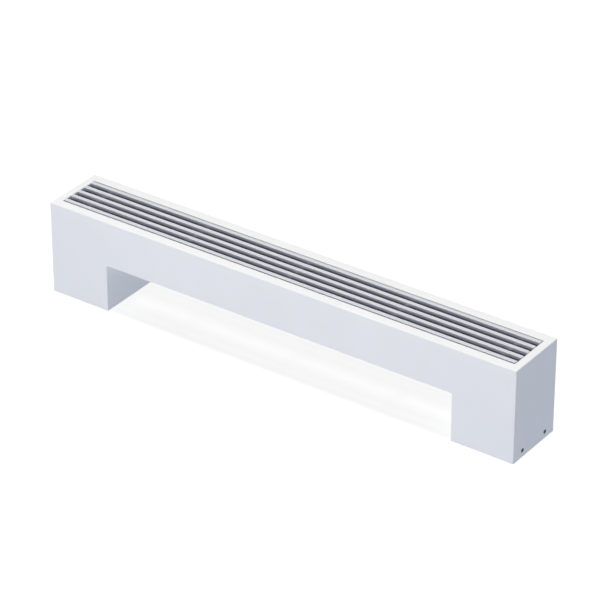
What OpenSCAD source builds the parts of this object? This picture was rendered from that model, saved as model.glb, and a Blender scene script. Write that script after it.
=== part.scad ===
// Free-standing floor convector: a bench-shaped casing of folded sheet on two closed legs, with a linear
// grille in its top and a water-heated finned exchanger inside. Millimetres, +Z up, X along the length.
// The origin is on the floor under the middle of the casing, and the front faces -Y.

/* [Overall size] */
// Length of the casing
body_l = 1000; // [800:10:2400]
// Depth of the casing from front to back
body_w = 130; // [108:1:200]
// Height of the casing above the floor
body_h = 186; // [180:1:300]
// Length of each leg along the casing
leg_l = 127; // [105:1:200]
// Clear height under the beam between the legs
beam_z = 95; // [70:1:100]

/* [Casing sheet] */
// Thickness of the casing's sheet, which is also the radius of its outer edges
sheet_t = 1.5; // [1:0.1:2]
// Width of the top rim along the front and the rear
side_rim_w = 19; // [16:0.5:26]
// Width of the top rim at each end
end_rim_w = 15.5; // [12:0.5:30]
// Depth of the return folded in under the beam
return_w = 14; // [12:0.5:16]
// Width of the ledge that carries the grille
ledge_w = 8; // [6:0.5:10]
// Width of the flange folded out at the top of a leg's inner panel
leg_flange_w = 12; // [8:0.5:14]

/* [Grille] */
// Width of a bar as seen from above
bar_w = 8; // [6:0.1:10]
// Height of a bar
bar_h = 18; // [16:0.5:22]
// Radius of a bar's long edges
bar_edge_r = 0.8; // [0.3:0.1:1.5]
// Gap between an outer bar and the rim
bar_side_gap = 3; // [1:0.1:4]
// Gap between a bar's end and the rim
bar_end_gap = 0.8; // [0.5:0.1:3]
// Thickness of the soft strips that the grille rests on
rest_strip_t = 1; // [0.5:0.1:2]
// Diameter of the rods that tie the bars together
tie_rod_d = 4; // [3:0.1:5]
// Depth of the rods' axis under the top of the bars
tie_rod_drop = 13; // [11:0.5:14]
// Outer diameter of the spacer tubes on the rods
spacer_d = 7; // [6:0.1:9]
// Distance of the outermost rods from the bars' ends
tie_rod_inset = 40; // [20:1:80]

/* [Heat exchanger] */
// Thickness of a fin
fin_t = 0.4; // [0.3:0.05:0.6]
// Distance from one fin to the next
fin_pitch = 6; // [4:0.5:12]
// Gap between the fins' edges and the casing's walls
fin_side_gap = 15.5; // [10:0.5:20]
// Height that is left free for the air between the fins and the grille's ledge
fin_top_gap = 19.5; // [15:0.5:60]
// Outer diameter of the water tubes
tube_d = 15; // [12:0.5:18]
// Wall of the water tubes
tube_wall = 1; // [0.8:0.1:1.5]
// Distance between the two water tubes
tube_spacing = 48; // [44:1:52]

/* [Connections] */
// Bore of the threaded water connections, the core of a half-inch pipe thread
connection_d = 18.6; // [15:0.1:19]
// Depth of the threaded water connections
connection_depth = 14; // [10:0.5:15]
// Diameter of the anchor holes in the floor brackets
anchor_hole_d = 9; // [6.5:0.5:11]
// Thickness of the floor brackets
bracket_t = 3; // [2:0.5:4]
// Distance between the two screws low on each end
end_screw_spacing = 72; // [60:1:80]
// Height of those screws above the floor
end_screw_z = 13; // [10:0.5:20]

/* [Hidden] */
$fn = 64;

// How far a cut runs past the face that it opens
over = 1;
// Radial clearance of a fixed pin or screw in its hole
hole_play = 0.1;
// Radial clearance of a turning or sliding shaft in its bore
run_play = 0.05;
// Chamfer of hexagons: the cone's angle, and its width at the end face as a share of the width over flats
hex_chamfer_angle = 30;
hex_face_share = 0.95;

// Casing
half_l = body_l / 2;
half_w = body_w / 2;
arch_half = half_l - leg_l;
inner_half_w = half_w - sheet_t;
open_half_l = half_l - end_rim_w;
open_half_w = half_w - side_rim_w;
bar_bottom = body_h - bar_h;
ledge_top = bar_bottom - rest_strip_t;
ledge_bottom = ledge_top - sheet_t;
beam_floor = beam_z + sheet_t;
leg_x = half_l - leg_l / 2;

// Screws low on the ends, countersunk with a hexagon socket
end_screw_d = 4;
end_screw_head_d = 8;
end_screw_l = 10;
end_screw_socket = 2.5;
end_screw_socket_depth = 1.4;

// Floor brackets
bracket_side_gap = 5.5;
bracket_inner_gap = 3.5;
bracket_outer_x = half_l - sheet_t;
bracket_inner_x = arch_half + sheet_t + bracket_inner_gap;
bracket_half_w = inner_half_w - bracket_side_gap;
upright_h = 34;
upright_side_gap = 6;
anchor_edge = 15;
anchor_side = 14;
cutout_l = 52;
cutout_beside = 18;

// Grille
bar_count = 5;
bar_l = 2 * (open_half_l - bar_end_gap);
grille_half_w = open_half_w - bar_side_gap;
bar_pitch = (2 * grille_half_w - bar_w) / (bar_count - 1);
tie_rod_count = 5;
tie_rod_pitch = (bar_l - 2 * tie_rod_inset) / (tie_rod_count - 1);
tie_rod_z = body_h - tie_rod_drop;
strip_edge_gap = 1;
strip_end_gap = 4;

// Exchanger
fin_floor_gap = 1.5;
fin_bottom = beam_floor + fin_floor_gap;
fin_top = ledge_bottom - fin_top_gap;
fin_h = fin_top - fin_bottom;
fin_half_w = inner_half_w - fin_side_gap;
tube_r = tube_d / 2;
tube_y = tube_spacing / 2;
tube_z = (fin_bottom + fin_top) / 2;
collar_r = tube_r + run_play + fin_t;
collar_end = 2;

// Exchanger plates
plate_t = 1.5;
plate_inset = 16;
plate_x = arch_half - plate_inset;
plate_foot_l = 12;
plate_side_gap = 3.5;
plate_half_w = inner_half_w - plate_side_gap;
plate_above_tube = 16;
grommet_wall = 2.5;
grommet_flange = 2;
grommet_hole_r = tube_r + grommet_wall;
plate_screw_d = 4;
plate_screw_head_d = 7.5;
plate_screw_head_h = 2.4;
plate_screw_tip = 3;
plate_screw_inset = 6.5;
plate_screw_edge = 4.5;
plate_screw_x = plate_x + plate_t + plate_screw_inset;
plate_screw_y = plate_half_w - plate_screw_edge;
fin_end_gap = 8;
fin_count = floor(2 * (plate_x - fin_end_gap) / fin_pitch) + 1;
fin_half_run = fin_pitch * (fin_count - 1) / 2;

// Turning header
header_gap = 10;
header_x = plate_x + header_gap;
header_l = 22;
header_h = 24;
header_beside = 13;
header_half_w = tube_y + header_beside;
header_socket = 10;
header_channel_r = 6;
header_channel_inset = 3;
header_channel_x = header_x + header_socket + header_channel_inset;

// Air vent, measured up from the tubes' axis
vent_thread_r = 4.5;
vent_bore_r = 1.5;
vent_foot = 4;
vent_seat = 8;
vent_hex = 14;
vent_hex_h = 5;
vent_neck_r = 5;
vent_neck_h = 2;
vent_screw_r = 3;
vent_head_r = 4;
vent_head_h = 3;
vent_gap = 0.3;
vent_slot_w = 1.2;
vent_slot_depth = 1.4;

// Valves, measured from where the tube's axis meets the valve's own
valve_x = -leg_x;
valve_r = 13;
valve_drop = 26;
valve_rise = 13;
inlet_hex = 27;
inlet_hex_h = 12;
flow_r = 7;
seat_drop = 8;
chamber_r = 9;
branch_r = 12;
branch_l = 26;
union_thread_r = 13.2;
union_thread_l = 10;

// Tailpieces and union nuts
gasket_t = 1.5;
tail_end_gap = 0.2;
tail_flange_r = 12.5;
tail_flange_t = 2.5;
tail_wall = 2;
tail_r = tube_r + tail_wall;
tail_l = 20;
tail_socket = 10;
tail_end_x = branch_l + gasket_t + tail_l;
tube_start_x = tail_end_x - tail_socket + tail_end_gap;
nut_size = 30;
nut_start_x = branch_l - union_thread_l + run_play;
nut_shoulder_x = branch_l + gasket_t + tail_flange_t;
nut_shoulder_t = 2.6;

// Valve inserts, spindles and plugs
insert_depth = 5;
insert_hex = 22;
insert_hex_h = 6;
insert_neck_r = 7;
insert_neck_h = 3;
insert_bottom = valve_rise - insert_depth;
insert_top = valve_rise + insert_hex_h + insert_neck_h;
plug_travel = 2.5;
plug_seat_gap = 0.1;
plug_r = 8.6;
plug_t = 3;
plug_boss_r = 5;
plug_boss_h = 7.8;
plug_bottom = plug_travel + plug_seat_gap - seat_drop;
plug_top = plug_bottom + plug_t;
spindle_r = 2.5;
spindle_foot_gap = 0.4;
spindle_collar_r = 4;
spindle_collar_gap = 0.3;
spindle_collar_h = 1.7;
spindle_key = 5;
spindle_key_h = 6;
key_play = 0.1;

// Handwheel, its screw and the lockshield cap
wheel_r = 16;
wheel_gap = 1;
wheel_bottom = valve_rise + insert_hex_h + wheel_gap;
wheel_h = 18;
wheel_recess_play = 1;
wheel_recess_h = 3;
wheel_flute_count = 12;
wheel_flute_r = 2.2;
wheel_flute_offset = 1;
wheel_screw_r = 1.5;
wheel_screw_web = 5.8;
wheel_screw_head_r = 2.8;
wheel_screw_head_h = 2;
wheel_counterbore_r = 4;
wheel_screw_reach = 4;
wheel_screw_tip_gap = 1;
wheel_chamfer = 1.2;
wheel_mark_l = 6;
wheel_mark_w = 1.2;
wheel_mark_depth = 0.6;
wheel_mark_inset = 2.5;
cap_r = 12.5;
cap_gap = 0.3;
cap_h = 11.5;
cap_top_t = 1.5;
cap_chamfer = 0.8;
cap_flute_count = 24;
cap_flute_r = 0.9;
cap_flute_offset = 0.4;

// Colours
powder_white = [0.95, 0.95, 0.96];
zinc_grey = [0.66, 0.68, 0.70];
anodised = [0.74, 0.75, 0.77];
black_steel = [0.12, 0.12, 0.13];
soft_black = [0.10, 0.10, 0.10];
fin_black = [0.16, 0.16, 0.17];
copper = [0.72, 0.45, 0.32];
nickel = [0.70, 0.69, 0.65];
brass = [0.78, 0.66, 0.40];
knob_grey = [0.85, 0.85, 0.86];

// Diameter over the corners of a hexagon that is this wide over its flats
function over_corners(flats) = flats / cos(180 / 6);

// Rectangle with rounded corners, centred
module round_rect(w, h, r) {
    square([w - 2 * r, h], center = true);
    square([w, h - 2 * r], center = true);
    for (x = [-1, 1], y = [-1, 1]) {
        translate([x * (w / 2 - r), y * (h / 2 - r)])
            circle(r);
    }
}

// What a rounded edge leaves free: the outside of a quarter circle, for an edge at the origin whose solid
// lies towards +X and -Y
module edge_flare(r) {
    difference() {
        translate([0, -r])
            square([r, r + over]);
        translate([r, -r])
            circle(r);
    }
}

// Extrudes a shape drawn in Y and Z along X, centred
module along_x(l) {
    rotate([90, 0, 90])
        linear_extrude(l, center = true)
            children();
}

// Extrudes a shape drawn in X and Z along Y, centred
module along_y(l) {
    rotate([90, 0, 0])
        linear_extrude(l, center = true)
            children();
}

// A rod along X from x0 to x1
module rod_x(r, x0, x1) {
    translate([x0, 0, 0])
        rotate([0, 90, 0])
            cylinder(r = r, h = x1 - x0);
}

// A tube's own place: side is -1 at the front and 1 at the rear
module at_tube(side) {
    translate([0, side * tube_y, tube_z])
        children();
}

// A valve's own place
module at_valve(side) {
    translate([valve_x, side * tube_y, tube_z])
        children();
}

// The vent's own place, on the middle of the turning header
module at_vent() {
    translate([header_channel_x, 0, tube_z])
        children();
}

// A hexagon that is this wide over its flats, with both ends turned down to a cone
module chamfered_hex(flats, h) {
    face_r = hex_face_share * flats / 2;
    middle_r = face_r + h / 2 / tan(hex_chamfer_angle);
    intersection() {
        cylinder(d = over_corners(flats), h = h, $fn = 6);
        union() {
            cylinder(r1 = face_r, r2 = middle_r, h = h / 2);
            translate([0, 0, h / 2])
                cylinder(r1 = middle_r, r2 = face_r, h = h / 2);
        }
    }
}

// A round body whose top edge is chamfered
module chamfered_top(r, h, chamfer) {
    cylinder(r = r, h = h - chamfer);
    translate([0, 0, h - chamfer])
        cylinder(r1 = r, r2 = r - chamfer, h = chamfer);
}

// The casing's outer form, with its edges rounded
module casing_envelope() {
    intersection() {
        linear_extrude(2 * body_h, center = true)
            round_rect(body_l, body_w, sheet_t);
        along_x(body_l + over)
            round_rect(body_w, 2 * body_h, sheet_t);
        along_y(body_w + over)
            round_rect(body_l, 2 * body_h, sheet_t);
    }
}

// One section of the grille opening, flaring at the top over its rounded edges
module opening_section(half) {
    translate([-half, ledge_top])
        square([2 * half, bar_h + rest_strip_t + over]);
    for (s = [0, 1]) {
        mirror([s, 0])
            translate([half, body_h])
                edge_flare(sheet_t);
    }
}

// The grille opening above the ledges
module opening_void() {
    intersection() {
        along_x(body_l)
            opening_section(open_half_w);
        along_y(body_w)
            opening_section(open_half_l);
    }
}

// The free space under the beam, flaring at the front and rear over its rounded edges
module arch_void() {
    intersection() {
        linear_extrude(2 * (beam_z + sheet_t), center = true) {
            square([2 * arch_half, body_w + 2 * over], center = true);
            for (x = [0, 1], y = [0, 1]) {
                mirror([x, 0])
                    mirror([0, y])
                        translate([arch_half, half_w])
                            edge_flare(sheet_t);
            }
        }
        along_x(body_l) {
            translate([-half_w - over, -over])
                square([body_w + 2 * over, beam_z + over]);
            for (y = [0, 1]) {
                mirror([y, 0])
                    translate([half_w, beam_z])
                        rotate(90)
                            mirror([0, 1])
                                edge_flare(sheet_t);
            }
        }
    }
}

// A place for each screw low on one end, with Z out of the casing; end is -1 at the left
module at_end_screws(end) {
    for (side = [-1, 1]) {
        translate([end * half_l, side * end_screw_spacing / 2, end_screw_z])
            rotate([0, end * 90, 0])
                children();
    }
}

// A countersunk screw's body, grown by a clearance where it is used as a cut
module end_screw_body(play) {
    head_r = end_screw_head_d / 2 + play;
    shank_r = end_screw_d / 2 + play;
    cone_h = head_r - shank_r;
    translate([0, 0, -cone_h])
        cylinder(r1 = shank_r, r2 = head_r, h = cone_h);
    translate([0, 0, -end_screw_l - play])
        cylinder(r = shank_r, h = end_screw_l + play - cone_h + play);
}

// A place for each screw under one exchanger plate
module at_plate_screws(end) {
    for (side = [-1, 1]) {
        translate([end * plate_screw_x, side * plate_screw_y, beam_z])
            children();
    }
}

module plate_screw_holes(end) {
    at_plate_screws(end)
        translate([0, 0, -over])
            cylinder(d = plate_screw_d + 2 * hole_play, h = sheet_t + plate_t + 2 * over);
}

// The front panel; the rear one is its mirror image
module side_panel() {
    color(powder_white)
    intersection() {
        casing_envelope();
        difference() {
            union() {
                translate([-half_l, -half_w, 0])
                    cube([body_l, sheet_t, body_h]);
                translate([-half_l, -half_w, body_h - sheet_t])
                    cube([body_l, side_rim_w, sheet_t]);
                translate([-open_half_l - sheet_t, -open_half_w - sheet_t, ledge_bottom])
                    cube([2 * (open_half_l + sheet_t), sheet_t, body_h - ledge_bottom]);
                translate([-open_half_l, -open_half_w - sheet_t, ledge_bottom])
                    cube([2 * open_half_l, sheet_t + ledge_w, sheet_t]);
                translate([-arch_half, -half_w, beam_z])
                    cube([2 * arch_half, return_w, sheet_t]);
            }
            arch_void();
            opening_void();
            plate_screw_holes(-1);
            plate_screw_holes(1);
        }
    }
}

// The right end panel; the left one is its mirror image
module end_panel() {
    color(powder_white)
    intersection() {
        casing_envelope();
        difference() {
            union() {
                translate([half_l - sheet_t, -inner_half_w, 0])
                    cube([sheet_t, 2 * inner_half_w, body_h - sheet_t]);
                translate([open_half_l, -open_half_w, body_h - sheet_t])
                    cube([end_rim_w, 2 * open_half_w, sheet_t]);
                translate([open_half_l, -open_half_w, ledge_bottom])
                    cube([sheet_t, 2 * open_half_w, body_h - ledge_bottom]);
            }
            opening_void();
            at_end_screws(1)
                end_screw_body(hole_play);
        }
    }
}

// The right leg's inner panel, with a flange under the beam
module leg_inner_panel() {
    flange_half_w = half_w - return_w;
    color(powder_white) {
        translate([arch_half, -inner_half_w, 0])
            cube([sheet_t, 2 * inner_half_w, beam_floor]);
        translate([arch_half - leg_flange_w, -flange_half_w, beam_z])
            cube([leg_flange_w, 2 * flange_half_w, sheet_t]);
    }
}

// The right floor bracket: a base plate with room for the pipes and an upright for the casing's screws
module floor_bracket() {
    upright_half_w = bracket_half_w - upright_side_gap;
    cutout_half_w = tube_y + cutout_beside;
    color(zinc_grey)
    difference() {
        union() {
            translate([bracket_inner_x, -bracket_half_w, 0])
                cube([bracket_outer_x - bracket_inner_x, 2 * bracket_half_w, bracket_t]);
            translate([bracket_outer_x - bracket_t, -upright_half_w, 0])
                cube([bracket_t, 2 * upright_half_w, upright_h]);
        }
        translate([leg_x - cutout_l / 2, -cutout_half_w, -over])
            cube([cutout_l, 2 * cutout_half_w, bracket_t + 2 * over]);
        for (x = [bracket_inner_x + anchor_edge, bracket_outer_x - anchor_edge], y = [-1, 1]) {
            translate([x, y * (bracket_half_w - anchor_side), -over])
                cylinder(d = anchor_hole_d, h = bracket_t + 2 * over);
        }
        at_end_screws(1)
            end_screw_body(hole_play);
    }
}

module casing_screws(end) {
    color(black_steel)
    at_end_screws(end)
        difference() {
            end_screw_body(0);
            translate([0, 0, -end_screw_socket_depth])
                cylinder(d = over_corners(end_screw_socket), h = end_screw_socket_depth + over, $fn = 6);
        }
}

// The soft strip on the front ledge; the rear one is its mirror image
module rest_strip() {
    strip_l = 2 * (open_half_l - strip_end_gap);
    color(soft_black)
    translate([-strip_l / 2, -open_half_w + strip_edge_gap, ledge_top])
        cube([strip_l, ledge_w - 2 * strip_edge_gap, rest_strip_t]);
}

// Places of the tie rods along the bars
module at_tie_rods() {
    for (i = [0 : tie_rod_count - 1]) {
        translate([i * tie_rod_pitch + tie_rod_inset - bar_l / 2, 0, tie_rod_z])
            children();
    }
}

// Bar i of the grille, counted from the front
module grille_bar(i) {
    color(anodised)
    difference() {
        translate([0, i * bar_pitch + bar_w / 2 - grille_half_w, body_h - bar_h / 2])
            along_x(bar_l)
                round_rect(bar_w, bar_h, bar_edge_r);
        at_tie_rods()
            rotate([90, 0, 0])
                cylinder(d = tie_rod_d + 2 * run_play, h = body_w, center = true);
    }
}

module grille_tie_rods() {
    color(anodised)
    at_tie_rods()
        rotate([90, 0, 0])
            cylinder(d = tie_rod_d, h = 2 * grille_half_w, center = true);
}

module grille_spacers() {
    color(anodised)
    at_tie_rods()
        for (i = [0 : bar_count - 2]) {
            translate([0, i * bar_pitch + bar_w - grille_half_w, 0])
                rotate([-90, 0, 0])
                    difference() {
                        cylinder(d = spacer_d, h = bar_pitch - bar_w);
                        translate([0, 0, -over])
                            cylinder(d = tie_rod_d + 2 * run_play, h = bar_pitch - bar_w + 2 * over);
                    }
        }
}

// The fins, joined by the collars that space them on the tubes
module fin_pack() {
    collar_half = fin_half_run + collar_end;
    color(fin_black)
    difference() {
        union() {
            for (i = [0 : fin_count - 1]) {
                translate([i * fin_pitch - fin_half_run - fin_t / 2, -fin_half_w, fin_bottom])
                    cube([fin_t, 2 * fin_half_w, fin_h]);
            }
            for (side = [-1, 1]) {
                at_tube(side)
                    rod_x(collar_r, -collar_half, collar_half);
            }
        }
        for (side = [-1, 1]) {
            at_tube(side)
                rod_x(tube_r + run_play, -collar_half - over, collar_half + over);
        }
    }
}

module water_tube(side) {
    x0 = valve_x + tube_start_x;
    x1 = header_x + header_socket - tail_end_gap;
    color(copper)
    at_tube(side)
        difference() {
            rod_x(tube_r, x0, x1);
            rod_x(tube_r - tube_wall, x0 - over, x1 + over);
        }
}

// The brass block that leads the water from one tube into the other
module turning_header() {
    color(brass)
    difference() {
        translate([header_x, -header_half_w, tube_z - header_h / 2])
            cube([header_l, 2 * header_half_w, header_h]);
        for (side = [-1, 1]) {
            at_tube(side)
                rod_x(tube_r + run_play, header_x - over, header_x + header_socket);
            at_tube(side)
                rod_x(tube_r - tube_wall, header_x, header_channel_x);
        }
        at_vent()
            rotate([90, 0, 0])
                cylinder(r = header_channel_r, h = 2 * tube_y, center = true);
        at_vent()
            cylinder(r = vent_thread_r + hole_play, h = header_h / 2 + over);
    }
}

// The right exchanger plate stands on the returns and holds the tubes; the left one is its mirror image
module exchanger_plate() {
    color(zinc_grey)
    difference() {
        union() {
            translate([plate_x, -plate_half_w, beam_floor])
                cube([plate_t, 2 * plate_half_w, tube_z + plate_above_tube - beam_floor]);
            translate([plate_x, -plate_half_w, beam_floor])
                cube([plate_foot_l, 2 * plate_half_w, plate_t]);
        }
        for (side = [-1, 1]) {
            at_tube(side)
                rod_x(grommet_hole_r, plate_x - over, plate_x + plate_t + over);
        }
        plate_screw_holes(1);
    }
}

module tube_grommets() {
    x0 = plate_x - grommet_flange;
    x1 = plate_x + plate_t + grommet_flange;
    color(soft_black)
    for (end = [0, 1], side = [-1, 1]) {
        mirror([end, 0, 0])
            at_tube(side)
                difference() {
                    union() {
                        rod_x(grommet_hole_r + grommet_flange, x0, plate_x);
                        rod_x(grommet_hole_r - run_play, x0, x1);
                        rod_x(grommet_hole_r + grommet_flange, plate_x + plate_t, x1);
                    }
                    rod_x(tube_r + run_play, x0 - over, x1 + over);
                }
    }
}

module exchanger_plate_screws() {
    shank_h = sheet_t + plate_t + plate_screw_tip;
    color(zinc_grey)
    for (end = [-1, 1]) {
        at_plate_screws(end) {
            translate([0, 0, -plate_screw_head_h])
                cylinder(d = plate_screw_head_d, h = plate_screw_head_h);
            cylinder(d = plate_screw_d, h = shank_h);
        }
    }
}

module air_vent_body() {
    header_top = header_h / 2;
    neck_top = header_top + vent_hex_h + vent_neck_h;
    color(nickel)
    at_vent()
        difference() {
            union() {
                translate([0, 0, vent_foot])
                    cylinder(r = vent_thread_r, h = neck_top - vent_foot);
                translate([0, 0, header_top])
                    chamfered_hex(vent_hex, vent_hex_h);
                translate([0, 0, header_top])
                    cylinder(r = vent_neck_r, h = neck_top - header_top);
            }
            translate([0, 0, vent_foot - over])
                cylinder(r = vent_bore_r, h = vent_seat - vent_foot + 2 * over);
            translate([0, 0, vent_seat])
                cylinder(r = vent_screw_r + run_play, h = neck_top - vent_seat + over);
        }
}

module air_vent_screw() {
    neck_top = header_h / 2 + vent_hex_h + vent_neck_h;
    head_bottom = neck_top + vent_gap;
    head_top = head_bottom + vent_head_h;
    color(brass)
    at_vent()
        difference() {
            union() {
                translate([0, 0, vent_seat + vent_gap])
                    cylinder(r = vent_screw_r, h = head_bottom - vent_seat);
                translate([0, 0, head_bottom])
                    cylinder(r = vent_head_r, h = vent_head_h);
            }
            translate([-vent_head_r - over, -vent_slot_w / 2, head_top - vent_slot_depth])
                cube([2 * (vent_head_r + over), vent_slot_w, vent_slot_depth + over]);
        }
}

// Angle valve: water comes in from below and leaves towards the exchanger
module valve_body(side) {
    color(nickel)
    at_valve(side)
        difference() {
            union() {
                translate([0, 0, -valve_drop])
                    cylinder(r = valve_r, h = valve_drop + valve_rise);
                translate([0, 0, -valve_drop])
                    chamfered_hex(inlet_hex, inlet_hex_h);
                rod_x(branch_r, 0, branch_l);
                rod_x(union_thread_r, branch_l - union_thread_l, branch_l);
            }
            translate([0, 0, -valve_drop - over])
                cylinder(d = connection_d, h = connection_depth + over);
            translate([0, 0, -valve_drop])
                cylinder(r = flow_r, h = valve_drop);
            translate([0, 0, -seat_drop])
                cylinder(r = chamber_r, h = seat_drop + valve_rise + over);
            rod_x(flow_r, 0, branch_l + over);
        }
}

// The flat rings between the valves and the tailpieces
module union_gaskets() {
    color(soft_black)
    for (side = [-1, 1]) {
        at_valve(side)
            difference() {
                rod_x(tail_flange_r, branch_l, branch_l + gasket_t);
                rod_x(flow_r, branch_l - over, branch_l + gasket_t + over);
            }
    }
}

module tailpiece(side) {
    x0 = branch_l + gasket_t;
    color(nickel)
    at_valve(side)
        difference() {
            union() {
                rod_x(tail_flange_r, x0, x0 + tail_flange_t);
                rod_x(tail_r, x0, tail_end_x);
            }
            rod_x(tube_r - tube_wall, x0 - over, tail_end_x);
            rod_x(tube_r + run_play, tail_end_x - tail_socket, tail_end_x + over);
        }
}

module union_nut(side) {
    nut_end_x = nut_shoulder_x + nut_shoulder_t;
    color(nickel)
    at_valve(side)
        difference() {
            translate([nut_start_x, 0, 0])
                rotate([0, 90, 0])
                    chamfered_hex(nut_size, nut_end_x - nut_start_x);
            rod_x(union_thread_r + hole_play, nut_start_x - over, nut_shoulder_x);
            rod_x(tail_r + hole_play, nut_start_x, nut_end_x + over);
        }
}

// The insert closes the valve's chamber and carries the spindle
module valve_insert(side) {
    color(brass)
    at_valve(side)
        difference() {
            union() {
                translate([0, 0, insert_bottom])
                    cylinder(r = chamber_r - run_play, h = insert_depth);
                translate([0, 0, valve_rise])
                    chamfered_hex(insert_hex, insert_hex_h);
                translate([0, 0, valve_rise])
                    cylinder(r = insert_neck_r, h = insert_top - valve_rise);
            }
            translate([0, 0, insert_bottom - over])
                cylinder(r = spindle_r + run_play, h = insert_top - insert_bottom + 2 * over);
        }
}

// The spindle turns in the insert and drives the plug by its thread
module spindle(side) {
    foot = plug_top + spindle_foot_gap;
    collar_top = insert_bottom - spindle_collar_gap;
    screw_hole_h = wheel_screw_reach + wheel_screw_tip_gap;
    color(brass)
    at_valve(side)
        difference() {
            union() {
                translate([0, 0, foot])
                    cylinder(r = spindle_r, h = insert_top - foot);
                translate([0, 0, collar_top - spindle_collar_h])
                    cylinder(r = spindle_collar_r, h = spindle_collar_h);
                translate([0, 0, insert_top])
                    cylinder(d = over_corners(spindle_key), h = spindle_key_h, $fn = 6);
            }
            translate([0, 0, insert_top + spindle_key_h - screw_hole_h])
                cylinder(r = wheel_screw_r, h = screw_hole_h + over);
        }
}

// The plug at its open end of travel
module plug(side) {
    color(soft_black)
    at_valve(side)
        difference() {
            union() {
                translate([0, 0, plug_bottom])
                    cylinder(r = plug_r, h = plug_t);
                translate([0, 0, plug_top])
                    cylinder(r = plug_boss_r, h = plug_boss_h);
            }
            translate([0, 0, plug_top])
                cylinder(r = spindle_r + hole_play, h = plug_boss_h + over);
        }
}

module handwheel() {
    top = wheel_bottom + wheel_h;
    web_bottom = insert_top + spindle_key_h;
    color(knob_grey)
    at_valve(-1)
        difference() {
            translate([0, 0, wheel_bottom])
                chamfered_top(wheel_r, wheel_h, wheel_chamfer);
            for (i = [0 : wheel_flute_count - 1]) {
                rotate(i * 360 / wheel_flute_count)
                    translate([wheel_r + wheel_flute_offset, 0, wheel_bottom - over])
                        cylinder(r = wheel_flute_r, h = wheel_h + 2 * over);
            }
            translate([0, 0, wheel_bottom - over])
                cylinder(r = insert_neck_r + wheel_recess_play, h = wheel_recess_h + over);
            translate([0, 0, wheel_bottom])
                cylinder(d = over_corners(spindle_key + key_play), h = web_bottom + run_play - wheel_bottom, $fn = 6);
            translate([0, 0, web_bottom])
                cylinder(r = wheel_screw_r + hole_play, h = wheel_h);
            translate([0, 0, web_bottom + wheel_screw_web])
                cylinder(r = wheel_counterbore_r, h = wheel_h);
            translate([wheel_r - wheel_mark_inset - wheel_mark_l, -wheel_mark_w / 2, top - wheel_mark_depth])
                cube([wheel_mark_l, wheel_mark_w, wheel_mark_depth + over]);
        }
}

module handwheel_screw() {
    head_bottom = insert_top + spindle_key_h + wheel_screw_web;
    color(zinc_grey)
    at_valve(-1)
        difference() {
            union() {
                translate([0, 0, head_bottom - wheel_screw_web - wheel_screw_reach])
                    cylinder(r = wheel_screw_r - run_play, h = wheel_screw_web + wheel_screw_reach);
                translate([0, 0, head_bottom])
                    cylinder(r = wheel_screw_head_r, h = wheel_screw_head_h);
            }
            translate([0, 0, head_bottom + wheel_screw_head_h / 2])
                cylinder(r = wheel_screw_head_r / 2, h = wheel_screw_head_h, $fn = 6);
        }
}

// The cap over the return valve's spindle
module lockshield_cap() {
    cap_bottom = valve_rise + insert_hex_h + cap_gap;
    color(knob_grey)
    at_valve(1)
        difference() {
            translate([0, 0, cap_bottom])
                chamfered_top(cap_r, cap_h, cap_chamfer);
            for (i = [0 : cap_flute_count - 1]) {
                rotate(i * 360 / cap_flute_count)
                    translate([cap_r + cap_flute_offset, 0, cap_bottom - over])
                        cylinder(r = cap_flute_r, h = cap_h + 2 * over);
            }
            translate([0, 0, cap_bottom - over])
                cylinder(r = insert_neck_r + cap_gap, h = cap_h + over - cap_top_t);
        }
}

side_panel();  // front_panel
mirror([0, 1, 0]) side_panel();  // rear_panel
mirror([1, 0, 0]) end_panel();  // left_end_panel
end_panel();  // right_end_panel
mirror([1, 0, 0]) leg_inner_panel();  // left_leg_inner_panel
leg_inner_panel();  // right_leg_inner_panel
mirror([1, 0, 0]) floor_bracket();  // left_floor_bracket
floor_bracket();  // right_floor_bracket
casing_screws(-1);  // left_casing_screws
casing_screws(1);  // right_casing_screws
rest_strip();  // front_rest_strip
mirror([0, 1, 0]) rest_strip();  // rear_rest_strip
grille_bar(0);  // grille_bar_1
grille_bar(1);  // grille_bar_2
grille_bar(2);  // grille_bar_3
grille_bar(3);  // grille_bar_4
grille_bar(4);  // grille_bar_5
grille_tie_rods();
grille_spacers();
fin_pack();
water_tube(-1);  // supply_tube
water_tube(1);  // return_tube
turning_header();
mirror([1, 0, 0]) exchanger_plate();  // left_exchanger_plate
exchanger_plate();  // right_exchanger_plate
tube_grommets();
exchanger_plate_screws();
air_vent_body();
air_vent_screw();
tailpiece(-1);  // supply_tailpiece
tailpiece(1);  // return_tailpiece
union_gaskets();
union_nut(-1);  // supply_union_nut
union_nut(1);  // return_union_nut
valve_body(-1);  // supply_valve_body
valve_body(1);  // return_valve_body
valve_insert(-1);  // supply_valve_insert
valve_insert(1);  // return_valve_insert
spindle(-1);  // supply_spindle
spindle(1);  // return_spindle
plug(-1);  // supply_plug
plug(1);  // return_plug
handwheel();
handwheel_screw();
lockshield_cap();
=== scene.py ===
import math
from typing import NamedTuple

import bmesh
import bpy
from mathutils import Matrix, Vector


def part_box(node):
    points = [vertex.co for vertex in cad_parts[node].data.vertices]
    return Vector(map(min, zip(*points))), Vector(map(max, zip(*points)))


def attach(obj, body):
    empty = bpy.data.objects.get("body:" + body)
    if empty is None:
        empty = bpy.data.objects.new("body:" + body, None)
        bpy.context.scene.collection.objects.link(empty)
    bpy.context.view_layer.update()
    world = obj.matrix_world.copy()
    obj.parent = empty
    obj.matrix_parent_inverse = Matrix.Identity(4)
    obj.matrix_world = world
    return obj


# Camera: its place in metres, its lens in millimetres, its tilt in degrees from straight down

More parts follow.
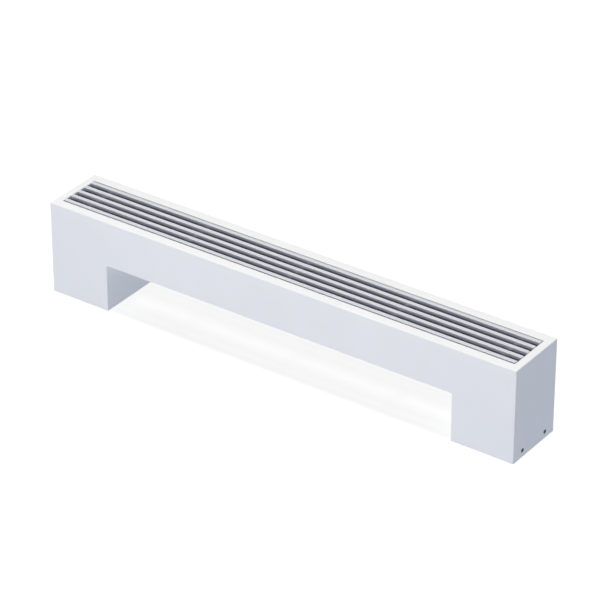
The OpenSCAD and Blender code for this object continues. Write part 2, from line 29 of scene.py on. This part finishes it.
CAMERA_PLACE = (2.9548, -4.1468, 3.1614)
CAMERA_TILT = 59.154
CAMERA_YAW = 35.374
CAMERA_LENS = 201.57
CAMERA_CLIP_END = 100
SENSOR_WIDTH = 36


# Lamps: a wide soft lamp in front, one from above and a weak one from the back left

KEY_POWER = 17.6
KEY_COLOUR = (1.0, 0.973, 0.9)
KEY_PLACE = (0, -1.52, 0.8)
KEY_AIM = (0, -0.065, 0.1)
KEY_WIDTH = 3.0
KEY_HEIGHT = 0.6
TOP_STRENGTH = 2.27
TOP_COLOUR = (1.0, 0.992, 0.99)
TOP_FROM = (0, 0, 1)
TOP_SOFTNESS = 12
BACK_STRENGTH = 0.8
BACK_COLOUR = (1.0, 1.0, 1.0)
BACK_FROM = (-0.87, 0.45, 0.2)
BACK_SOFTNESS = 20


# World and floor: what lights the object, and what the camera and reflections see

SKY_LOW = (0.01, 0.015, 0.02)
SKY_HIGH = (0.08, 0.09, 0.11)
SEEN_WHITE = (1.0, 1.0, 1.0)
FLOOR_HALF = 12
FLOOR_GAP = 0.0002
FLOOR_BOUNCE = (0.11, 0.12, 0.145)
FLOOR_GLOW = (0.58, 0.64, 0.79)
FLOOR_GLOW_STRENGTH = 1
FLOOR_SEEN_SHADE = (0.26, 0.26, 0.26)
FLOOR_SEEN_GLOW_STRENGTH = 0.825


# Screws of the ends, as in the CAD part, and the ring round their sockets where a glint is
# painted

END_SCREW_Y = 0.036
END_SCREW_Z = 0.013
SOCKET_GLINT_RADII = (0.0015, 0.0022)


# Tubes, as in the CAD part, and the brazing fillets on them

TUBE_R = 0.0075
TUBE_Y = 0.024
TUBE_Z = 0.122
FILLET_SIZE = 0.0018
FILLET_SINK = 0.0001
FILLET_ARC_STEPS = 6
FILLET_TURNS = 64
FILLET_UNEVEN = 0.07
BROAD_WAVES = 3
BROAD_WAVES_SHIFT = 40
FINE_WAVES = 7


# Finishes. Noise in blotches mixes the two colours, noise in patches spreads the roughness
# between its two values, and the skin is noise that raises the surface, by a depth in metres.
# The band is the part of the noise's range that is used, the stretch draws the skin out along
# an axis, and edges catch the light as if rounded to the edge radius.


class Pattern(NamedTuple):
    scale: float
    detail: float


class Finish(NamedTuple):
    name: str
    roughness: tuple
    skin: Pattern
    depth: float
    strength: float
    colours: tuple = ()
    blotches: Pattern = None
    patches: Pattern = None
    band: tuple = (0.3, 0.7)
    stretch: tuple = (1, 1, 1)
    edge_radius: float = 0
    metallic: float = 0
    specular: float = 0.5


WHOLE_RANGE = (0, 1)
FULL_TO_NONE = (1, 0)
EDGE_SAMPLES = 6

POWDER_COAT = Finish(
    name="white_powder_coat",
    colours=((0.875, 0.876, 0.878), (0.9, 0.901, 0.903)),
    blotches=Pattern(9, 3),
    roughness=(0.42, 0.5),
    patches=Pattern(60, 3),
    skin=Pattern(750, 2),
    depth=0.00004,
    strength=0.35,
    edge_radius=0.0005,
    specular=0.45,
)

# Only the level faces, such as the bars' tops, are brushed. The sides are unbrushed, and
# their paler, bluer tone is partly painted light from the slots.
# Painted shade, a dark colour, lies low on the bars' sides and fades out between the two
# heights.
ANODISED_BARS = Finish(
    name="anodised_bars",
    roughness=(0.3, 0.36),
    patches=Pattern(35, 3),
    skin=Pattern(900, 3),
    depth=0.00001,
    strength=0.3,
    stretch=(0.012, 1, 1),
    edge_radius=0.0003,
    metallic=0.35,
)
ANODISED_RODS = ANODISED_BARS._replace(name="anodised_rods", stretch=(1, 0.05, 1))
BRUSHED_COLOURS = ((0.622, 0.638, 0.668), (0.688, 0.7, 0.724))
# The sides are unbrushed, and their paler, bluer tone is painted light, standing in for the
# bluish light in the slots
UNBRUSHED_AND_PAINTED_LIGHT_COLOURS = ((0.627, 0.657, 0.79), (0.687, 0.717, 0.85))
# Painted shade: a dark colour low on the bars' sides, standing in for the shade deep in the
# slots
PAINTED_SLOT_SHADE_COLOURS = ((0.08, 0.085, 0.112), (0.1, 0.105, 0.132))
PAINTED_SLOT_SHADE_HEIGHTS = (0.1781, 0.181)
ROD_NODES = ("grille_tie_rods", "grille_spacers")

ZINC_PLATE = Finish(
    name="zinc_plated_steel",
    colours=((0.5, 0.52, 0.55), (0.66, 0.68, 0.7)),
    roughness=(0.34, 0.52),
    skin=Pattern(500, 3),
    depth=0.00003,
    strength=0.3,
    edge_radius=0.0003,
    metallic=1,
)
ZINC_FLAKES = 180

# The second, lighter colour is a painted glint in a ring round each screw's socket
BLACK_OXIDE = Finish(
    name="black_oxide_steel",
    colours=((0.005, 0.0055, 0.009), (0.07, 0.073, 0.082)),
    blotches=Pattern(900, 4),
    roughness=(0.34, 0.46),
    patches=Pattern(400, 3),
    skin=Pattern(1500, 2),
    depth=0.00003,
    strength=0.3,
    edge_radius=0.0003,
    metallic=0.9,
)
# How strongly the painted glint shows, spread by noise
GLINT_SHARES = (0.55, 1)
GLINT_BAND = (0.4, 0.6)

RUBBER = Finish(
    name="black_rubber",
    colours=((0.02, 0.02, 0.021), (0.04, 0.04, 0.042)),
    blotches=Pattern(70, 4),
    roughness=(0.72, 0.88),
    patches=Pattern(300, 3),
    skin=Pattern(2200, 2),
    depth=0.00005,
    strength=0.4,
)

BLACK_LACQUER = Finish(
    name="black_lacquered_fins",
    colours=((0.011, 0.011, 0.014), (0.022, 0.022, 0.026)),
    blotches=Pattern(45, 4),
    roughness=(0.5, 0.68),
    patches=Pattern(220, 3),
    skin=Pattern(900, 2),
    depth=0.00004,
    strength=0.3,
)

COPPER = Finish(
    name="drawn_copper",
    colours=((0.82, 0.42, 0.27), (0.52, 0.25, 0.16)),
    blotches=Pattern(40, 5),
    roughness=(0.24, 0.46),
    patches=Pattern(90, 4),
    skin=Pattern(1400, 2),
    depth=0.00002,
    strength=0.4,
    stretch=(0.02, 1, 1),
    metallic=1,
)

BRASS = Finish(
    name="machined_brass",
    colours=((0.81, 0.61, 0.3), (0.69, 0.5, 0.23)),
    blotches=Pattern(85, 4),
    roughness=(0.24, 0.36),
    patches=Pattern(320, 3),
    skin=Pattern(1300, 3),
    depth=0.00002,
    strength=0.35,
    band=(0.15, 0.85),
    edge_radius=0.0003,
    metallic=1,
)

NICKEL = BRASS._replace(
    name="nickel_plate",
    colours=((0.73, 0.705, 0.66), (0.67, 0.65, 0.61)),
    roughness=(0.2, 0.3),
)

PLUG_PLASTIC = Finish(
    name="plug_plastic",
    colours=((0.06, 0.06, 0.065), (0.04, 0.04, 0.045)),
    blotches=Pattern(55, 3),
    roughness=(0.5, 0.62),
    patches=Pattern(240, 3),
    skin=Pattern(1800, 2),
    depth=0.00004,
    strength=0.35,
    edge_radius=0.0004,
)

KNOB_PLASTIC = PLUG_PLASTIC._replace(
    name="knob_plastic",
    colours=((0.8, 0.805, 0.815), (0.74, 0.745, 0.76)),
    roughness=(0.38, 0.5),
)

BRAZE = Finish(
    name="silver_braze",
    colours=((0.72, 0.68, 0.55), (0.4, 0.33, 0.25)),
    blotches=Pattern(420, 4),
    roughness=(0.22, 0.5),
    patches=Pattern(700, 3),
    skin=Pattern(1600, 3),
    depth=0.00008,
    strength=0.5,
    metallic=1,
)


# Node helpers


def material_with_shader(name):
    material = bpy.data.materials.new(name)
    material.use_nodes = True
    tree = material.node_tree
    return material, tree, tree.nodes["Principled BSDF"]


def place_on_object(tree, stretch=(1, 1, 1)):
    coords = tree.nodes.new("ShaderNodeTexCoord")
    mapping = tree.nodes.new("ShaderNodeMapping")
    mapping.inputs["Scale"].default_value = stretch
    tree.links.new(coords.outputs["Object"], mapping.inputs["Vector"])
    return mapping.outputs["Vector"]


def split_vector(tree, vector):
    node = tree.nodes.new("ShaderNodeSeparateXYZ")
    tree.links.new(vector, node.inputs["Vector"])
    return node.outputs


def noise(tree, vector, pattern):
    node = tree.nodes.new("ShaderNodeTexNoise")
    node.inputs["Scale"].default_value = pattern.scale
    node.inputs["Detail"].default_value = pattern.detail
    tree.links.new(vector, node.inputs["Vector"])
    return node.outputs["Fac"]


def cells(tree, vector, scale):
    node = tree.nodes.new("ShaderNodeTexVoronoi")
    node.inputs["Scale"].default_value = scale
    tree.links.new(vector, node.inputs["Vector"])
    return node.outputs["Color"]


def spread(tree, value, targets, band):
    node = tree.nodes.new("ShaderNodeMapRange")
    node.inputs["From Min"].default_value = band[0]
    node.inputs["From Max"].default_value = band[1]
    node.inputs["To Min"].default_value = targets[0]
    node.inputs["To Max"].default_value = targets[1]
    tree.links.new(value, node.inputs["Value"])
    return node.outputs["Result"]


def compute(tree, operation, first, second=None):
    node = tree.nodes.new("ShaderNodeMath")
    node.operation = operation
    for socket, value in zip(node.inputs, (first, second)):
        if isinstance(value, bpy.types.NodeSocket):
            tree.links.new(value, socket)
        elif value is not None:
            socket.default_value = value
    return node.outputs["Value"]


def mix_colours(tree, factor, first, second):
    node = tree.nodes.new("ShaderNodeMix")
    node.data_type = "RGBA"
    tree.links.new(factor, node.inputs["Factor"])
    for end, colour in (("A", first), ("B", second)):
        if isinstance(colour, bpy.types.NodeSocket):
            tree.links.new(colour, node.inputs[end])
        else:
            node.inputs[end].default_value = (*colour, 1)
    return node.outputs["Result"]


def soften_edges(tree, radius):
    node = tree.nodes.new("ShaderNodeBevel")
    node.samples = EDGE_SAMPLES
    node.inputs["Radius"].default_value = radius
    return node.outputs["Normal"]


def raise_surface(tree, height, finish):
    node = tree.nodes.new("ShaderNodeBump")
    node.inputs["Distance"].default_value = finish.depth
    node.inputs["Strength"].default_value = finish.strength
    tree.links.new(height, node.inputs["Height"])
    if finish.edge_radius:
        tree.links.new(soften_edges(tree, finish.edge_radius), node.inputs["Normal"])
    return node.outputs["Normal"]


def finish_shader(tree, shader, finish, colour, roughness, height):
    tree.links.new(colour, shader.inputs["Base Color"])
    tree.links.new(roughness, shader.inputs["Roughness"])
    tree.links.new(raise_surface(tree, height, finish), shader.inputs["Normal"])
    shader.inputs["Metallic"].default_value = finish.metallic
    shader.inputs["Specular IOR Level"].default_value = finish.specular


# Materials


def make_material(finish):
    material, tree, shader = material_with_shader(finish.name)
    spot = place_on_object(tree)
    share = spread(tree, noise(tree, spot, finish.blotches), WHOLE_RANGE, finish.band)
    colour = mix_colours(tree, share, *finish.colours)
    roughness = spread(tree, noise(tree, spot, finish.patches), finish.roughness, finish.band)
    height = noise(tree, place_on_object(tree, finish.stretch), finish.skin)
    finish_shader(tree, shader, finish, colour, roughness, height)
    return material


def share_level(tree):
    coords = tree.nodes.new("ShaderNodeTexCoord")
    return compute(tree, "ABSOLUTE", split_vector(tree, coords.outputs["Normal"])["Z"])


# How much painted shade a point gets: full below the lower height, none above the upper
def share_of_painted_slot_shade(tree, spot):
    return spread(tree, split_vector(tree, spot)["Z"], FULL_TO_NONE, PAINTED_SLOT_SHADE_HEIGHTS)


def make_anodised(finish):
    material, tree, shader = material_with_shader(finish.name)
    spot = place_on_object(tree)
    grain = noise(tree, place_on_object(tree, finish.stretch), finish.skin)
    tint = spread(tree, grain, WHOLE_RANGE, finish.band)
    brushed = mix_colours(tree, tint, *BRUSHED_COLOURS)
    # Sides: unbrushed, with a bluer, paler tone that is painted light
    unbrushed_and_painted_light = mix_colours(tree, tint, *UNBRUSHED_AND_PAINTED_LIGHT_COLOURS)
    # Painted shade low on the sides
    painted_slot_shade = mix_colours(tree, tint, *PAINTED_SLOT_SHADE_COLOURS)
    sides = mix_colours(tree, share_of_painted_slot_shade(tree, spot), unbrushed_and_painted_light, painted_slot_shade)
    # Level faces take the brushed colour, and the sides take the painted light and the
    # painted shade
    colour = mix_colours(tree, share_level(tree), sides, brushed)
    haze = spread(tree, noise(tree, spot, finish.patches), finish.roughness, finish.band)
    finish_shader(tree, shader, finish, colour, haze, grain)
    return material


def make_zinc_plate(finish):
    material, tree, shader = material_with_shader(finish.name)
    spot = place_on_object(tree)
    flakes = tree.nodes.new("ShaderNodeSeparateColor")
    tree.links.new(cells(tree, spot, ZINC_FLAKES), flakes.inputs["Color"])
    colour = mix_colours(tree, flakes.outputs["Red"], *finish.colours)
    roughness = spread(tree, flakes.outputs["Green"], finish.roughness, WHOLE_RANGE)
    finish_shader(tree, shader, finish, colour, roughness, noise(tree, spot, finish.skin))
    return material


def distance_from_screw_axis(tree, spot):
    place = split_vector(tree, spot)
    beside = compute(tree, "SUBTRACT", compute(tree, "ABSOLUTE", place["Y"]), END_SCREW_Y)
    above = compute(tree, "SUBTRACT", place["Z"], END_SCREW_Z)
    squares = [compute(tree, "MULTIPLY", offset, offset) for offset in (beside, above)]
    return compute(tree, "SQRT", compute(tree, "ADD", *squares))


def make_black_oxide(finish):
    material, tree, shader = material_with_shader(finish.name)
    spot = place_on_object(tree)
    # Painted glint: a lighter ring round the socket, between the two radii
    painted_glint_ring = spread(tree, distance_from_screw_axis(tree, spot), FULL_TO_NONE, SOCKET_GLINT_RADII)
    uneven = spread(tree, noise(tree, spot, finish.blotches), GLINT_SHARES, GLINT_BAND)
    colour = mix_colours(tree, compute(tree, "MULTIPLY", painted_glint_ring, uneven), *finish.colours)
    roughness = spread(tree, noise(tree, spot, finish.patches), finish.roughness, finish.band)
    finish_shader(tree, shader, finish, colour, roughness, noise(tree, spot, finish.skin))
    return material


def make_materials():
    return {
        "powder_coated_steel": make_material(POWDER_COAT),
        "galvanised_steel": make_zinc_plate(ZINC_PLATE),
        "black_steel": make_black_oxide(BLACK_OXIDE),
        "anodised_aluminium": make_anodised(ANODISED_BARS),
        "turned_aluminium": make_anodised(ANODISED_RODS),
        "black_rubber": make_material(RUBBER),
        "black_fins": make_material(BLACK_LACQUER),
        "copper": make_material(COPPER),
        "brass": make_material(BRASS),
        "nickel_plated_brass": make_material(NICKEL),
        "plug_plastic": make_material(PLUG_PLASTIC),
        "knob_plastic": make_material(KNOB_PLASTIC),
    }


def dress_nodes(frame, materials):
    for name, thing in frame["nodes"].items():
        for slot in thing.material_slots:
            key = slot.material.name.split(".")[0]
            if name in ROD_NODES:
                key = "turned_aluminium"
            slot.material = materials[key]


# Brazed joints


def fillet_profile():
    quarter = [math.pi / 2 * step / FILLET_ARC_STEPS for step in range(FILLET_ARC_STEPS + 1)]
    arc = [
        (FILLET_SIZE * (1 - math.cos(angle)), TUBE_R + FILLET_SIZE * (1 - math.sin(angle)))
        for angle in quarter
    ]
    buried = TUBE_R - FILLET_SINK
    return [
        (-FILLET_SINK, TUBE_R + FILLET_SIZE),
        *arc,
        (FILLET_SIZE, buried),
        (-FILLET_SINK, buried),
    ]


def fillet_swell(angle, face_x, side):
    broad = math.sin(BROAD_WAVES * angle + face_x * BROAD_WAVES_SHIFT)
    fine = math.sin(FINE_WAVES * angle + side)
    return 1 + FILLET_UNEVEN * (broad + fine)


def add_fillet(form, face_x, away, side):
    profile = fillet_profile()
    rings = []
    for turn in range(FILLET_TURNS):
        angle = 2 * math.pi * turn / FILLET_TURNS
        swell = fillet_swell(angle, face_x, side)
        ring = []
        for along, radius in profile:
            grown = TUBE_R + (radius - TUBE_R) * swell if radius > TUBE_R else radius
            reach = along * swell if along > 0 else along
            place = (
                face_x + away * reach,
                side * TUBE_Y + grown * math.cos(angle),
                TUBE_Z + grown * math.sin(angle),
            )
            ring.append(form.verts.new(place))
        rings.append(ring)
    for near, far in zip(rings, rings[1:] + rings[:1]):
        for i in range(len(profile)):
            j = (i + 1) % len(profile)
            form.faces.new((near[i], near[j], far[j], far[i]))


def make_brazed_joints(material):
    mesh = bpy.data.meshes.new("brazed_joints")
    form = bmesh.new()
    for side, tailpiece in ((-1, "supply_tailpiece"), (1, "return_tailpiece")):
        add_fillet(form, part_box(tailpiece)[1].x, 1, side)
        add_fillet(form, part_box("turning_header")[0].x, -1, side)
    bmesh.ops.recalc_face_normals(form, faces=form.faces)
    form.to_mesh(mesh)
    form.free()
    mesh.shade_smooth()
    mesh.materials.append(material)
    joints = bpy.data.objects.new("brazed_joints", mesh)
    bpy.context.scene.collection.objects.link(joints)
    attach(joints, "casing")


# Stage


def share_seen(tree):
    path = tree.nodes.new("ShaderNodeLightPath")
    seen = compute(
        tree, "MAXIMUM", path.outputs["Is Camera Ray"], path.outputs["Is Glossy Ray"]
    )
    return compute(tree, "MAXIMUM", seen, path.outputs["Is Transmission Ray"])


def make_world():
    world = bpy.data.worlds.new("studio")
    world.use_nodes = True
    tree = world.node_tree
    direction = tree.nodes.new("ShaderNodeTexCoord")
    height = split_vector(tree, direction.outputs["Generated"])["Z"]
    sky = mix_colours(tree, spread(tree, height, WHOLE_RANGE, WHOLE_RANGE), SKY_LOW, SKY_HIGH)
    seen = mix_colours(tree, share_seen(tree), sky, SEEN_WHITE)
    tree.links.new(seen, tree.nodes["Background"].inputs["Color"])
    bpy.context.scene.world = world


def glowing_surface(tree, colour, glow_colour, glow_strength):
    surface = tree.nodes.new("ShaderNodeBsdfDiffuse")
    surface.inputs["Color"].default_value = (*colour, 1)
    glow = tree.nodes.new("ShaderNodeEmission")
    glow.inputs["Color"].default_value = (*glow_colour, 1)
    glow.inputs["Strength"].default_value = glow_strength
    both = tree.nodes.new("ShaderNodeAddShader")
    tree.links.new(surface.outputs["BSDF"], both.inputs[0])
    tree.links.new(glow.outputs["Emission"], both.inputs[1])
    return both.outputs["Shader"]


def make_floor_material():
    material = bpy.data.materials.new("pale_floor")
    material.use_nodes = True
    tree = material.node_tree
    tree.nodes.remove(tree.nodes["Principled BSDF"])
    lighting = glowing_surface(tree, FLOOR_BOUNCE, FLOOR_GLOW, FLOOR_GLOW_STRENGTH)
    seen = glowing_surface(tree, FLOOR_SEEN_SHADE, SEEN_WHITE, FLOOR_SEEN_GLOW_STRENGTH)
    choose = tree.nodes.new("ShaderNodeMixShader")
    tree.links.new(share_seen(tree), choose.inputs["Fac"])
    tree.links.new(lighting, choose.inputs[1])
    tree.links.new(seen, choose.inputs[2])
    tree.links.new(choose.outputs["Shader"], tree.nodes["Material Output"].inputs["Surface"])
    return material


def make_floor():
    mesh = bpy.data.meshes.new("floor")
    form = bmesh.new()
    corners = [
        form.verts.new((x * FLOOR_HALF, y * FLOOR_HALF, -FLOOR_GAP))
        for x, y in ((-1, -1), (1, -1), (1, 1), (-1, 1))
    ]
    form.faces.new(corners)
    form.to_mesh(mesh)
    form.free()
    floor = bpy.data.objects.new("floor", mesh)
    mesh.materials.append(make_floor_material())
    bpy.context.scene.collection.objects.link(floor)


def make_lamp(name, kind, strength, colour, comes_from):
    data = bpy.data.lights.new(name, kind)
    data.energy = strength
    data.color = colour
    lamp = bpy.data.objects.new(name, data)
    lamp.rotation_euler = Vector(comes_from).to_track_quat("Z", "Y").to_euler()
    bpy.context.scene.collection.objects.link(lamp)
    return lamp


def make_lamps():
    key_from = Vector(KEY_PLACE) - Vector(KEY_AIM)
    key = make_lamp("key", "AREA", KEY_POWER, KEY_COLOUR, key_from)
    key.location = KEY_PLACE
    key.data.shape = "RECTANGLE"
    key.data.size = KEY_WIDTH
    key.data.size_y = KEY_HEIGHT
    top = make_lamp("top", "SUN", TOP_STRENGTH, TOP_COLOUR, TOP_FROM)
    top.data.angle = math.radians(TOP_SOFTNESS)
    top.visible_glossy = False
    back = make_lamp("back", "SUN", BACK_STRENGTH, BACK_COLOUR, BACK_FROM)
    back.data.angle = math.radians(BACK_SOFTNESS)


def make_camera():
    data = bpy.data.cameras.new("camera")
    data.sensor_width = SENSOR_WIDTH
    data.lens = CAMERA_LENS
    data.clip_end = CAMERA_CLIP_END
    camera = bpy.data.objects.new("camera", data)
    camera.location = CAMERA_PLACE
    camera.rotation_euler = (math.radians(CAMERA_TILT), 0, math.radians(CAMERA_YAW))
    bpy.context.scene.collection.objects.link(camera)
    bpy.context.scene.camera = camera


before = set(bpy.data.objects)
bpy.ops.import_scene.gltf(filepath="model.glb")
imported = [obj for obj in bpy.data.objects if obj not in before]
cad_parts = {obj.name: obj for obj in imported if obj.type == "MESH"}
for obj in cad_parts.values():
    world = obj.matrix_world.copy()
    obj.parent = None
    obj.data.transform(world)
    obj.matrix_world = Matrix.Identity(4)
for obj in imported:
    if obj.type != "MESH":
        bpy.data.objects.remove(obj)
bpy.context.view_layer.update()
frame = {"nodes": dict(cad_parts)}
bpy.context.scene.view_settings.view_transform = "Standard"
make_camera()
make_world()
make_lamps()
make_floor()
make_brazed_joints(make_material(BRAZE))
dress_nodes(frame, make_materials())
